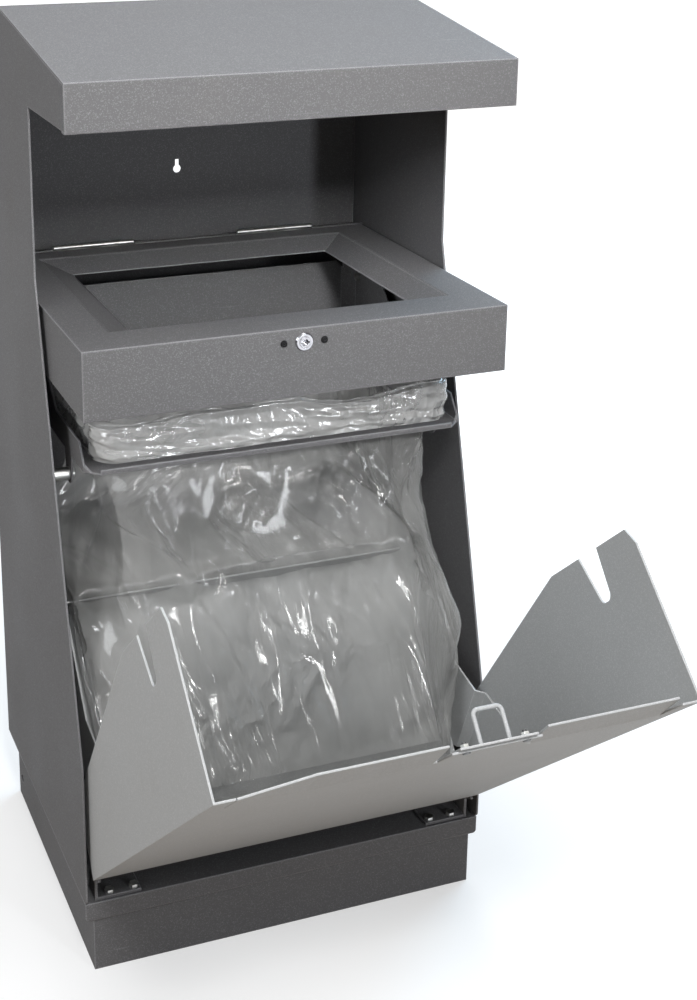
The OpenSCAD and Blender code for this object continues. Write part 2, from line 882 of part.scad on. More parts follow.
module striker_loop() {
    bend_r = 5;
    reach = 2 * flap_sheet + striker_reach - bend_r;
    color("white") on_flap() translate([striker_x, 0, striker_u]) {
        for (side = [-1, 1]) {
            bar_y(side * (striker_half - striker_rod_r), 2 * flap_sheet, reach, 0, striker_rod_r);
            translate([side * (striker_half - striker_rod_r - bend_r), reach, 0])
                mirror([side == 1 ? 0 : 1, 0, 0])
                    rotate_extrude(angle = 90) translate([bend_r, 0]) circle(r = striker_rod_r);
        }
        bar_x(-striker_half + striker_rod_r + bend_r, striker_half - striker_rod_r - bend_r,
              reach + bend_r, 0, striker_rod_r);
    }
}

module striker_screws() {
    color("dimgray") on_flap() for (side = [-1, 1])
        translate([striker_x + side * striker_screw_half, 0, striker_u]) {
            bar_y(0, 0, 2 * flap_sheet + 5, 0, 2);
            rotate([90, 0, 0]) cylinder(r1 = 4, r2 = 3.4, h = 1.2);
        }
}

module striker_nuts() {
    color("silver") on_flap() for (side = [-1, 1])
        translate([striker_x + side * striker_screw_half, 2 * flap_sheet, striker_u])
            difference() {
                rotate([-90, 0, 0]) cylinder(r = 4, h = 3.2, $fn = 6);
                bar_y(0, -past, 3.2 + past, 0, 2);
            }
}

left_side_panel();
right_side_panel();
back_panel();
roof();
floor_tray();
plinth();
hinge_rail();
hinge_fixed_leaves();
hinge_pins();
hinge_moving_leaves();
insert_frame();
lock_case();
lock_barrel();
lock_plug();
lock_bolt();
lock_screws();
bag_frame();
frame_studs();
frame_bolts();
bag();
left_pivot_bracket();
right_pivot_bracket();
bracket_screws();
flap();
left_flap_arm();
right_flap_arm();
bag_shelf();
pivot_pins();
pivot_nuts();
striker_plate();
striker_loop();
striker_screws();
striker_nuts();
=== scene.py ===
"""Looks of the recycling bin: coated sheet steel, silver flap and a clear crumpled bag."""

import json
import math

import bpy
import numpy as np
from mathutils import Matrix, Vector


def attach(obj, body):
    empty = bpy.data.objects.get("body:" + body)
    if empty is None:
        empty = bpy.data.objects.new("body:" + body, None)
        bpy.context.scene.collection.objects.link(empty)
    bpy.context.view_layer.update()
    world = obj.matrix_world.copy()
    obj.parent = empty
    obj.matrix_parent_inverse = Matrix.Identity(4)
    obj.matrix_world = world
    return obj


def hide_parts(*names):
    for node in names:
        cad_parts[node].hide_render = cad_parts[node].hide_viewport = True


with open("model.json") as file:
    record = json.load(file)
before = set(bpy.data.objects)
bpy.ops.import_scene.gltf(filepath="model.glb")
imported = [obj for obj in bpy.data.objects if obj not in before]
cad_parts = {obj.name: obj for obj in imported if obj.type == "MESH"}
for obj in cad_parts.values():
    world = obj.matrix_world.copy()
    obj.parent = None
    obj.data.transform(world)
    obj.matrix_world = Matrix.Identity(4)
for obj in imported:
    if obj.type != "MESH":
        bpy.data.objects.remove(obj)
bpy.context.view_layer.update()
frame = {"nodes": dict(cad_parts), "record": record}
nodes = frame["nodes"]

MM = 0.001
# Depth of the plinth, whose middle is the origin, so that places can be given from its front
PLINTH_DEPTH = 375.0
# The bag's crumpled band: metres round the film at its top, and how far it leans per metre down
BAND_START, BAND_LEAN = 0.486, 0.8


# Helpers for shader trees

def new_material(name):
    """A material with an empty tree but for its Principled shader and output."""
    material = bpy.data.materials.new(name)
    material.use_nodes = True
    shader = material.node_tree.nodes["Principled BSDF"]
    return material, material.node_tree, shader


def add(tree, kind, **values):
    """Adds a node; names with a leading underscore are properties, the rest are input sockets."""
    node = tree.nodes.new(kind)
    for key, value in values.items():
        if key.startswith("_"):
            setattr(node, key[1:], value)
        else:
            node.inputs[key.replace("_", " ")].default_value = value
    return node


def link(tree, source, target):
    tree.links.new(source, target)


def math_node(tree, operation, a, b=None):
    """The result of a maths node on two numbers or sockets."""
    node = tree.nodes.new("ShaderNodeMath")
    node.operation = operation
    for socket, value in zip(node.inputs, (a, b)):
        if value is None:
            continue
        if isinstance(value, (int, float)):
            socket.default_value = value
        else:
            link(tree, value, socket)
    return node.outputs[0]


def scaled(tree, value, times, plus):
    """The value times a number, plus a number."""
    found = math_node(tree, "MULTIPLY_ADD", value, times)
    found.node.inputs[2].default_value = plus
    return found


def mix_colour(tree, factor, a, b):
    """Colour a where the factor is 0 and colour b where it is 1."""
    node = tree.nodes.new("ShaderNodeMix")
    node.data_type = "RGBA"
    for name, value in (("Factor_Float", factor), ("A_Color", a), ("B_Color", b)):
        socket = next(s for s in node.inputs if s.identifier == name)
        if isinstance(value, (int, float)):
            socket.default_value = value
        elif isinstance(value, tuple):
            socket.default_value = (*value, 1.0)[:4]
        else:
            link(tree, value, socket)
    return next(s for s in node.outputs if s.identifier == "Result_Color")


def ramp(tree, value, low, high):
    """Value mapped from low..high to 0..1, smooth at both ends."""
    node = tree.nodes.new("ShaderNodeMapRange")
    node.interpolation_type = "SMOOTHSTEP"
    link(tree, value, node.inputs["Value"])
    node.inputs["From Min"].default_value = low
    node.inputs["From Max"].default_value = high
    return node.outputs["Result"]


def group(name, inputs, outputs):
    """An empty shader node group with float inputs and the outputs given as name: type."""
    tree = bpy.data.node_groups.new(name, "ShaderNodeTree")
    for key, value in inputs.items():
        socket = tree.interface.new_socket(key, in_out="INPUT", socket_type="NodeSocketFloat")
        socket.default_value = value
    for key, kind in outputs.items():
        tree.interface.new_socket(key, in_out="OUTPUT", socket_type=kind)
    return tree, tree.nodes.new("NodeGroupInput"), tree.nodes.new("NodeGroupOutput")


def place(tree, made, **values):
    """A made group, placed in a tree with these input values."""
    node = tree.nodes.new("ShaderNodeGroup")
    node.node_tree = made
    for key, value in values.items():
        node.inputs[key.replace("_", " ")].default_value = value
    return node


def soft_folds(tree, radius):
    """The normal with its folds rounded off by a radius."""
    soft = add(tree, "ShaderNodeBevel", Radius=radius)
    soft.samples = 4
    return soft.outputs["Normal"]


def bumped(tree, shader, height, strength, distance, below=None):
    """Bumps the shader's normal by a height, over another normal where one is given."""
    bump = add(tree, "ShaderNodeBump", Strength=strength, Distance=distance)
    link(tree, height, bump.inputs["Height"])
    if below is not None:
        link(tree, below, bump.inputs["Normal"])
    link(tree, bump.outputs["Normal"], shader.inputs["Normal"])


# Effects that several finishes share

def powder_coat_group():
    """Fine orange-peel grain, tiny bright flecks and faint clouding of a baked powder coat."""
    tree, given, out = group(
        "powder coat", {"Grain size": 0.0012, "Fleck size": 0.0006},
        {"Height": "NodeSocketFloat", "Fleck": "NodeSocketFloat", "Cloud": "NodeSocketFloat"})
    place_at = add(tree, "ShaderNodeTexCoord").outputs["Object"]
    grain = add(tree, "ShaderNodeTexNoise", Detail=2.0, Roughness=0.6)
    link(tree, place_at, grain.inputs["Vector"])
    link(tree, math_node(tree, "DIVIDE", 1.0, given.outputs["Grain size"]), grain.inputs["Scale"])
    cells = add(tree, "ShaderNodeTexVoronoi")
    link(tree, place_at, cells.inputs["Vector"])
    link(tree, math_node(tree, "DIVIDE", 1.0, given.outputs["Fleck size"]), cells.inputs["Scale"])
    tint = add(tree, "ShaderNodeSeparateColor")
    link(tree, cells.outputs["Color"], tint.inputs["Color"])
    cloud = add(tree, "ShaderNodeTexNoise", Scale=7.0, Detail=4.0, Roughness=0.55)
    link(tree, place_at, cloud.inputs["Vector"])
    link(tree, grain.outputs["Fac"], out.inputs["Height"])
    link(tree, ramp(tree, tint.outputs["Red"], 0.72, 1.0), out.inputs["Fleck"])
    link(tree, ramp(tree, cloud.outputs["Fac"], 0.3, 0.7), out.inputs["Cloud"])
    return tree


def wear_group():
    """Fine scuffs and dust: long thin scratches in two directions and soft dusty patches."""
    tree, given, out = group(
        "light wear", {"Scratch size": 0.02},
        {"Scratch": "NodeSocketFloat", "Dust": "NodeSocketFloat"})
    place_at = add(tree, "ShaderNodeTexCoord").outputs["Object"]
    masks = []
    for turn, stretch in ((0.5, 22.0), (-0.9, 30.0)):
        turned = add(tree, "ShaderNodeMapping", Rotation=(turn, turn * 0.7, turn * 1.3),
                     Scale=(1.0, stretch, stretch))
        link(tree, place_at, turned.inputs["Vector"])
        lines = add(tree, "ShaderNodeTexNoise", Detail=3.0, Roughness=0.6)
        link(tree, turned.outputs["Vector"], lines.inputs["Vector"])
        link(tree, math_node(tree, "DIVIDE", 0.12, given.outputs["Scratch size"]),
             lines.inputs["Scale"])
        masks.append(ramp(tree, lines.outputs["Fac"], 0.70, 0.76))
    dust = add(tree, "ShaderNodeTexNoise", Scale=11.0, Detail=6.0, Roughness=0.65)
    link(tree, place_at, dust.inputs["Vector"])
    link(tree, math_node(tree, "MAXIMUM", *masks), out.inputs["Scratch"])
    link(tree, ramp(tree, dust.outputs["Fac"], 0.52, 0.75), out.inputs["Dust"])
    return tree


POWDER = powder_coat_group()
WEAR = wear_group()


# Finishes

def coated_steel(name, base, fleck_and_highlight, cloudy, fleck_share, metallic, rough, grain, edge_radius,
                 dust_tone, dust_share, fold_highlight_share=0.6):
    """Powder-coated steel: base colour, brighter flecks, clouding, softened folds with a painted
    highlight along them, and dust.
    """
    cloud_share, scuff_share = 0.5, 0.12
    rougher_cloud, rougher_dust = 0.08, 0.5
    material, tree, shader = new_material(name)
    coat = place(tree, POWDER, Grain_size=grain, Fleck_size=0.0008)
    wear = place(tree, WEAR, Scratch_size=0.02)
    cloud = math_node(tree, "MULTIPLY", coat.outputs["Cloud"], cloud_share)
    tone = mix_colour(tree, cloud, base, cloudy)
    specks = math_node(tree, "MULTIPLY", coat.outputs["Fleck"], fleck_share)
    tone = mix_colour(tree, specks, tone, fleck_and_highlight)
    dusty = math_node(tree, "MULTIPLY", wear.outputs["Dust"], dust_share)
    tone = mix_colour(tree, dusty, tone, dust_tone)
    scuffed = math_node(tree, "MULTIPLY", wear.outputs["Scratch"], scuff_share)
    tone = mix_colour(tree, scuffed, tone, fleck_and_highlight)
    # Painted highlight on the folds: the bright fleck colour where the softened normal leaves the
    # face's own
    soft = soft_folds(tree, edge_radius)
    turned = add(tree, "ShaderNodeVectorMath", _operation="DOT_PRODUCT")
    link(tree, soft, turned.inputs[0])
    link(tree, add(tree, "ShaderNodeNewGeometry").outputs["Normal"], turned.inputs[1])
    painted_fold_highlight = ramp(tree, math_node(tree, "SUBTRACT", 1.0, turned.outputs["Value"]), 0.01, 0.15)
    tone = mix_colour(tree, math_node(tree, "MULTIPLY", painted_fold_highlight, fold_highlight_share), tone, fleck_and_highlight)
    link(tree, tone, shader.inputs["Base Color"])
    shader.inputs["Metallic"].default_value = metallic
    shader.inputs["Specular IOR Level"].default_value = 0.05
    gloss = scaled(tree, coat.outputs["Cloud"], rougher_cloud, rough)
    gloss = math_node(tree, "ADD", gloss, math_node(tree, "MULTIPLY", dusty, rougher_dust))
    link(tree, gloss, shader.inputs["Roughness"])
    bumped(tree, shader, coat.outputs["Height"], 0.32, 0.0004, soft)
    return material


def plated_steel(name, base, dull, rough, edge_radius):
    """Zinc-plated or polished steel with brushed lines and slightly dull patches."""
    material, tree, shader = new_material(name)
    coords = add(tree, "ShaderNodeTexCoord").outputs["Object"]
    stretched = add(tree, "ShaderNodeMapping", Scale=(30.0, 900.0, 900.0))
    link(tree, coords, stretched.inputs["Vector"])
    lines = add(tree, "ShaderNodeTexNoise", Scale=1.0, Detail=3.0)
    link(tree, stretched.outputs["Vector"], lines.inputs["Vector"])
    patches = add(tree, "ShaderNodeTexNoise", Scale=90.0, Detail=4.0)
    link(tree, coords, patches.inputs["Vector"])
    dulled = ramp(tree, patches.outputs["Fac"], 0.4, 0.7)
    link(tree, mix_colour(tree, dulled, base, dull), shader.inputs["Base Color"])
    shader.inputs["Metallic"].default_value = 1.0
    rougher_dull = 0.12
    link(tree, scaled(tree, dulled, rougher_dull, rough), shader.inputs["Roughness"])
    bumped(tree, shader, lines.outputs["Fac"], 0.2, 0.0002, soft_folds(tree, edge_radius))
    return material


def clear_film():
    """Thin clear film: see-through, faintly milky in patches, creased and glossy.

    Each crease is a groove where a stretched noise passes its middle value: 0 on that line and
    higher away from it."""
    material, tree, shader = new_material("clear film")
    coords = add(tree, "ShaderNodeTexCoord").outputs["UV"]
    heights = []
    long_way = 0.45
    for turn, size, share in ((0.5, 11.0, 1.0), (-0.7, 17.0, 0.7), (0.1, 38.0, 0.34),
                              (1.2, 80.0, 0.16)):
        turned = add(tree, "ShaderNodeMapping", Rotation=(0.0, 0.0, turn),
                     Scale=(size, size * long_way, 1.0))
        link(tree, coords, turned.inputs["Vector"])
        noise = add(tree, "ShaderNodeTexNoise", Scale=1.0, Detail=2.0, Roughness=0.5,
                    Distortion=0.6)
        link(tree, turned.outputs["Vector"], noise.inputs["Vector"])
        away = math_node(tree, "ABSOLUTE", math_node(tree, "SUBTRACT", noise.outputs["Fac"], 0.5))
        heights.append(math_node(tree, "MULTIPLY", away, share))
    height = math_node(tree, "ADD", math_node(tree, "ADD", heights[0], heights[1]),
                       math_node(tree, "ADD", heights[2], heights[3]))
    milky = add(tree, "ShaderNodeTexNoise", Scale=8.0, Detail=5.0, Roughness=0.5)
    link(tree, coords, milky.inputs["Vector"])
    patches = add(tree, "ShaderNodeTexNoise", Scale=5.0, Detail=1.0)
    link(tree, coords, patches.inputs["Vector"])
    # Creases gather in a slanting band across the front and in a few faint patches
    way = add(tree, "ShaderNodeSeparateXYZ")
    link(tree, coords, way.inputs["Vector"])
    slant = math_node(tree, "SUBTRACT", way.outputs["X"],
                      math_node(tree, "MULTIPLY", way.outputs["Y"], BAND_LEAN))
    off_band = math_node(tree, "ABSOLUTE", math_node(tree, "SUBTRACT", slant, BAND_START))
    band = math_node(tree, "SUBTRACT", 1.0, ramp(tree, off_band, 0.03, 0.15))
    faint = math_node(tree, "MULTIPLY", ramp(tree, patches.outputs["Fac"], 0.45, 0.65), 0.5)
    creased_depth, plain_depth = 1.5, 0.12
    creased = scaled(tree, math_node(tree, "MAXIMUM", band, faint), creased_depth, plain_depth)
    height = math_node(tree, "MULTIPLY", height, creased)
    shader.inputs["Roughness"].default_value = 0.09
    shader.inputs["IOR"].default_value = 1.51
    shader.inputs["Specular IOR Level"].default_value = 1.0
    shader.inputs["Coat Weight"].default_value = 1.0
    shader.inputs["Coat Roughness"].default_value = 0.08
    shader.inputs["Coat IOR"].default_value = 1.9
    haze = ramp(tree, milky.outputs["Fac"], 0.3, 0.7)
    link(tree, mix_colour(tree, haze, (0.56, 0.56, 0.545), (0.70, 0.70, 0.685)),
         shader.inputs["Base Color"])
    # How much the film hides: the least, what haze, height and a slanting view add to it, and
    # the share of it all that its inner side keeps
    least, hazy, low_down, slanted, seen_inside = 0.36, 0.14, 0.26, 0.30, 0.28
    facing = add(tree, "ShaderNodeLayerWeight", Blend=0.4)
    rim = math_node(tree, "MULTIPLY", facing.outputs["Facing"], slanted)
    lower = math_node(tree, "MULTIPLY", ramp(tree, way.outputs["Y"], 0.08, 0.24), low_down)
    clear = math_node(tree, "ADD", scaled(tree, haze, hazy, least), lower)
    inside = add(tree, "ShaderNodeNewGeometry").outputs["Backfacing"]
    kept = math_node(tree, "SUBTRACT", 1.0, math_node(tree, "MULTIPLY", inside, 1.0 - seen_inside))
    cover = math_node(tree, "MULTIPLY", math_node(tree, "ADD", clear, rim), kept)
    link(tree, cover, shader.inputs["Alpha"])
    bumped(tree, shader, height, 1.0, 0.030)
    return material


# Each coat's bright fleck colour is also its painted highlight along the folds
ANTHRACITE = coated_steel(
    "anthracite powder coat", base=(0.122, 0.121, 0.124), cloudy=(0.134, 0.132, 0.134),
    fleck_and_highlight=(0.44, 0.44, 0.46), fleck_share=0.20, metallic=0.05, rough=0.56, grain=0.0011,
    edge_radius=0.0026, dust_tone=(0.20, 0.185, 0.165), dust_share=0.07)
SILVER = coated_steel(
    "silver powder coat", base=(0.37, 0.375, 0.375), cloudy=(0.395, 0.40, 0.40),
    fleck_and_highlight=(0.76, 0.77, 0.77), fleck_share=0.22, metallic=0.12, rough=0.50, grain=0.0009,
    edge_radius=0.0014, dust_tone=(0.33, 0.31, 0.28), dust_share=0.08)
ZINC = plated_steel("zinc plating", (0.66, 0.66, 0.64), (0.50, 0.50, 0.47), 0.28, 0.0003)
DARK_STEEL = plated_steel("dark steel", (0.12, 0.12, 0.12), (0.08, 0.08, 0.08), 0.45, 0.0004)
CHROME = plated_steel("polished chrome", (0.38, 0.38, 0.40), (0.26, 0.26, 0.27), 0.16, 0.0006)
BLACK = coated_steel(
    "black button", base=(0.012, 0.012, 0.013), cloudy=(0.02, 0.02, 0.02),
    fleck_and_highlight=(0.08, 0.08, 0.08), fleck_share=0.1, metallic=0.0, rough=0.3, grain=0.0006,
    edge_radius=0.0005, dust_tone=(0.10, 0.09, 0.08), dust_share=0.15)
FILM = clear_film()

FINISHES = {
    "anthracite_paint": ANTHRACITE, "silver_paint": SILVER, "zinc_plated": ZINC,
    "dark_steel": DARK_STEEL, "lock_chrome": CHROME, "black_plastic": BLACK,
    "clear_film": FILM,
}
for part in frame["record"]["subparts"]:
    solid = nodes[part["node"]]
    solid.data.materials.clear()
    solid.data.materials.append(FINISHES[part["material_slot"]])


# The bag

def value_noise(u, v, seed):
    """Smooth noise from -1 to 1: random lattice values blended with a smoothstep."""
    size = 97
    lattice = np.random.RandomState(seed).uniform(-1, 1, (size, size))
    iu, iv = np.floor(u).astype(int), np.floor(v).astype(int)
    fu, fv = u - iu, v - iv
    fu, fv = fu * fu * (3 - 2 * fu), fv * fv * (3 - 2 * fv)
    at = lambda a, b: lattice[a % size, b % size]
    low = at(iu, iv) * (1 - fu) + at(iu + 1, iv) * fu
    high = at(iu, iv + 1) * (1 - fu) + at(iu + 1, iv + 1) * fu
    return low * (1 - fv) + high * fv


def crumple(u, v, size, seed, folds=7):
    """Crumpled film: the mean of bent triangle waves in random directions, from 0 to 1."""
    chance = np.random.RandomState(seed)
    height = np.zeros_like(u)
    for i in range(folds):
        angle, length = chance.uniform(0, math.pi), size * chance.uniform(0.7, 1.7)
        bend = 0.55 * value_noise(u / (2.2 * size), v / (2.2 * size), seed + 11 * i + 1)
        wave = (u * math.cos(angle) + v * math.sin(angle)) / length + bend + chance.uniform()
        height += np.abs((wave % 1.0) * 2 - 1)
    return height / folds


def long_folds(u, v, seed, count, width, height):
    """Long folds that lean off the vertical: ridges and grooves of straight sides, which fade
    at both ends.

    Each is its height times 1 - |across| / width times 1 - (along / half length) squared."""
    chance = np.random.RandomState(seed)
    total = np.zeros_like(u)
    for _ in range(count):
        middle_u, middle_v = chance.uniform(u.min(), u.max()), chance.uniform(0.0, v.max())
        lean = chance.choice([0.65, 0.45, -0.35, 0.1]) + chance.uniform(-0.15, 0.15)
        half = chance.uniform(0.08, 0.20)
        wide, high = width * chance.uniform(0.6, 1.6), height * chance.choice([1, 1, -0.8])
        along = (u - middle_u) * math.sin(lean) + (v - middle_v) * math.cos(lean)
        across = (u - middle_u) * math.cos(lean) - (v - middle_v) * math.sin(lean)
        sides = np.clip(1 - np.abs(across) / wide, 0, 1)
        total += high * sides * np.clip(1 - (along / half) ** 2, 0, 1)
    return total


def ring(half_x, corner, count):
    """A rounded rectangle of unit depth as x and a share of the depth from front 0 to back 1.

    Points lie at equal steps along its line, from the middle of the back, round the left."""
    depth, corner_points = 0.30, 24
    corner = min(corner, depth / 2 - MM, half_x - MM)
    a = np.linspace(0, math.pi / 2, corner_points)
    quarter = np.stack([np.sin(a), np.cos(a)], 1) * corner
    right_back = quarter + [half_x - corner, depth / 2 - corner]
    right_front = quarter[::-1] * [1, -1] + [half_x - corner, -depth / 2 + corner]
    right = np.concatenate([[[0, depth / 2]], right_back, right_front, [[0, -depth / 2]]])
    left = right[::-1][1:] * [-1, 1]
    line = np.concatenate([right, left])
    steps = np.concatenate([[0], np.cumsum(np.hypot(*np.diff(line, axis=0).T))])
    at = np.linspace(0, steps[-1], count + 1)[:-1]
    x, y = np.interp(at, steps, line[:, 0]), np.interp(at, steps, line[:, 1])
    return x, y / depth + 0.5, at


def through(before, here, there, after, f):
    """A smooth curve through four values, read at the share f from the second to the third."""
    return 0.5 * (2 * here + (there - before) * f
                  + (2 * before - 5 * here + 4 * there - after) * f ** 2
                  + (3 * here - before - 3 * there + after) * f ** 3)


def smooth_rows(rows, count):
    """Rows of control values read at even steps of a smooth curve through them."""
    rows = np.array(rows, float)
    t = np.linspace(0, len(rows) - 1, count)
    i = np.clip(np.floor(t).astype(int), 0, len(rows) - 2)
    f = (t - i)[:, None]
    before, after = rows[np.maximum(i - 1, 0)], rows[np.minimum(i + 2, len(rows) - 1)]
    return through(before, rows[i], rows[i + 1], after, f)


def grid_mesh(name, points, uv, material, body):
    """A mesh of quads over a grid of points that closes on itself along its columns."""
    rows, columns = points.shape[:2]
    r, c = np.meshgrid(np.arange(rows - 1), np.arange(columns), indexing="ij")
    after = (c + 1) % columns
    faces = np.stack([r * columns + c, (r + 1) * columns + c,
                      (r + 1) * columns + after, r * columns + after], -1).reshape(-1, 4)
    mesh = bpy.data.meshes.new(name)
    mesh.from_pydata(points.reshape(-1, 3).tolist(), [], faces.tolist())
    layer = mesh.uv_layers.new(name="film")
    step = uv[0, 1, 0] - uv[0, 0, 0]
    corner_u = np.stack([uv[r, c, 0], uv[r + 1, c, 0], uv[r + 1, c, 0] + step,
                         uv[r, c, 0] + step], -1)
    corner_v = np.stack([uv[r, c, 1], uv[r + 1, c, 1], uv[r + 1, after, 1], uv[r, after, 1]], -1)
    layer.data.foreach_set("uv", np.stack([corner_u, corner_v], -1).astype(np.float32).ravel())
    mesh.polygons.foreach_set("use_smooth", np.ones(len(mesh.polygons), bool))
    mesh.materials.append(material)
    piece = bpy.data.objects.new(name, mesh)
    bpy.context.scene.collection.objects.link(piece)
    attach(piece, body)
    return piece


def normals_of(points):
    """Unit normals of a grid that closes along its columns, pointing outwards."""
    along = np.roll(points, -1, 1) - np.roll(points, 1, 1)
    down = np.gradient(points, axis=0)
    normal = np.cross(down, along)
    return normal / np.maximum(np.linalg.norm(normal, axis=2, keepdims=True), 1e-9)


def buckled(points, uv, held, reach, growth, frames):
    """The grid after its film, as a cloth, has outgrown its space and buckled into creases.

    It is held by its weights, and no point ends further than reach from where it was."""
    piece = grid_mesh("film_trial", points, uv, FILM, "housing")
    group_of = piece.vertex_groups.new(name="held")
    for weight in np.unique(held):
        group_of.add(np.flatnonzero(held == weight).tolist(), float(weight), "REPLACE")
    cloth = piece.modifiers.new("film", "CLOTH")
    values = cloth.settings
    values.quality, values.mass, values.air_damping = 5, 0.02, 2.0
    values.tension_stiffness = values.compression_stiffness = 60.0
    values.shear_stiffness, values.bending_stiffness = 30.0, 0.02
    values.tension_damping = values.compression_damping = values.shear_damping = 8.0
    values.shrink_min = values.shrink_max = -growth
    values.vertex_group_mass = "held"
    values.pin_stiffness = 4.0
    values.effector_weights.gravity = 0.0
    cloth.point_cache.frame_start, cloth.point_cache.frame_end = 1, frames
    scene = bpy.context.scene
    for step in range(1, frames + 1):
        scene.frame_set(step)
    moved = piece.evaluated_get(bpy.context.evaluated_depsgraph_get()).to_mesh()
    found = np.empty(len(moved.vertices) * 3)
    moved.vertices.foreach_get("co", found)
    mesh = piece.data
    bpy.data.objects.remove(piece)
    bpy.data.meshes.remove(mesh)
    scene.frame_set(1)
    shift = found.reshape(points.shape) - points
    size = np.linalg.norm(shift, axis=2, keepdims=True)
    return points + shift * reach * np.tanh(size / reach) / np.maximum(size, 1e-9)


def finer(grid, rows, columns):
    """The grid read at more rows and columns of a smooth curve, closed along its columns."""
    down = smooth_rows(grid.reshape(len(grid), -1), rows).reshape(rows, grid.shape[1], -1)
    count = down.shape[1]
    across = np.concatenate([down[:, -2:], down, down[:, :3]], 1).transpose(1, 0, 2)
    t = np.arange(columns) * count / columns + 2
    i = np.floor(t).astype(int)
    f = (t - i)[:, None, None]
    found = through(across[i - 1], across[i], across[i + 1], across[i + 2], f)
    return found.transpose(1, 0, 2)


def ring_points(line, down, columns, tuck=0.0):
    """Points and film coordinates of rings, one for each row of a line.

    A row holds front y and z, back y and z, half width and corner radius in mm, and down is its
    way along the film in metres. Tuck is the largest share by which the sides are drawn in: it
    grows and fades with the sine of the way down, squared, and along each side from front to
    back with a sine to the power 0.7."""
    tuck_end = 0.26
    points = np.zeros((len(line), columns, 3))
    uv = np.zeros((len(line), columns, 2))
    for i, (front_y, front_z, back_y, back_z, half_x, corner) in enumerate(line):
        x, share, at = ring(half_x * MM, corner * MM, columns)
        tucked = tuck * math.sin(math.pi * min(down[i] / tuck_end, 1)) ** 2
        x = x * (1 - tucked * np.clip(np.sin(math.pi * share), 0, 1) ** 0.7)
        points[i] = np.stack([x, (front_y + (back_y - front_y) * share - PLINTH_DEPTH / 2) * MM,
                              (front_z + (back_z - front_z) * share) * MM], 1)
        uv[i] = np.stack([at, np.full(columns, down[i])], 1)
    return points, uv


def bag_rings(columns, rows):
    """Points and film coordinates of the smooth bag, ring by ring from its neck down."""
    # Front y and z, back y and z, half width, corner radius: from the frame's hole downwards
    rows_mm = [
        (56, 583, 309, 583, 186, 30), (55, 576, 310, 576, 187, 34), (38, 569, 312, 570, 191, 44),
        (28, 558, 313, 560, 194, 56), (15, 515, 313, 530, 196, 64), (4, 460, 313, 490, 200, 60),
        (-3, 405, 311, 444, 208, 48), (-8, 355, 288, 408, 214, 30), (-9, 312, 212, 399, 214, 30),
        (-8, 278, 142, 391, 213, 28), (-7, 250, 146, 352, 211, 26), (-6, 220, 118, 303, 208, 24),
        (-5, 196, 82, 261, 205, 20), (-3, 178, 50, 223, 203, 16), (0, 170, 30, 199, 201, 14),
        (8, 178, 18, 187, 200, 10),
    ]
    line = smooth_rows(rows_mm, rows)
    down = np.concatenate([[0], np.cumsum(np.hypot(*np.diff(line[:, :2], axis=0).T))]) * MM
    return ring_points(line, down, columns, tuck=0.14)


def film_bag():
    """The bag below its frame: tilted rounded rings from the frame down to the bottom seam.

    Each ring runs from a front point to a back point. Long folds and crumples push the film
    along its normal, the film buckles as a cloth that has outgrown its space, and small
    creases are added on a finer grid. All fade where the neck is gathered and at the seam."""
    # Film over which the neck and the seam stay smooth, for the folds and for the creases
    fold_fade, crease_fade = 0.05, 0.04
    # The folds lie this far inside the smooth rings, so that the film doesn't stand proud
    inset = 0.009
    smoothings = 3
    points, uv = bag_rings(190, 100)
    u, v = uv[..., 0], uv[..., 1]
    fade = np.clip(v / fold_fade, 0, 1) ** 1.5 * np.clip((v[-1:] - v) / fold_fade, 0, 1)
    push = value_noise(u / 0.16 + 3, v / 0.30, 5) * 0.005 + long_folds(u, v, 12, 60, 0.026, 0.010)
    push -= inset
    points += normals_of(points) * (push * fade)[..., None]
    held = np.clip(1 - fade, 0, 1).round(1).ravel()
    points = buckled(points, uv, held, reach=0.008, growth=0.045, frames=14)
    for _ in range(smoothings):
        around = (np.roll(points, 1, 1) + np.roll(points, -1, 1)) / 2
        points[1:-1] = (points[1:-1] * 2 + around[1:-1] + (points[:-2] + points[2:]) / 2) / 4
    rows, columns = 210, 396
    points = finer(points, rows, columns)
    smooth, uv = bag_rings(columns, rows)
    u, v = uv[..., 0], uv[..., 1]
    fade = np.clip(v / crease_fade, 0, 1) * np.clip((v[-1:] - v) / crease_fade, 0, 1)
    band_width, elsewhere = 0.10, 0.12
    band = np.exp(-((u - BAND_START - BAND_LEAN * v) / band_width) ** 2)
    creases = (crumple(u, v, 0.045, 22, 3) - 0.5) * 0.015
    creases += (crumple(u, v, 0.018, 23, 3) - 0.5) * 0.005
    creases = creases * (elsewhere + band) + long_folds(u, v, 13, 70, 0.008, 0.0024)
    points += normals_of(points) * (creases * fade)[..., None]
    # The shut flap stands close to the bag's front and sides, so neither bulges past its ring
    points[..., 1] = np.maximum(points[..., 1], smooth[..., 1].min(axis=1, keepdims=True))
    widest = smooth[..., 0].max(axis=1, keepdims=True)
    points[..., 0] = np.clip(points[..., 0], -widest, widest)
    piece = grid_mesh("bag_film", points, uv, FILM, "housing")
    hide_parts("bag")
    return piece


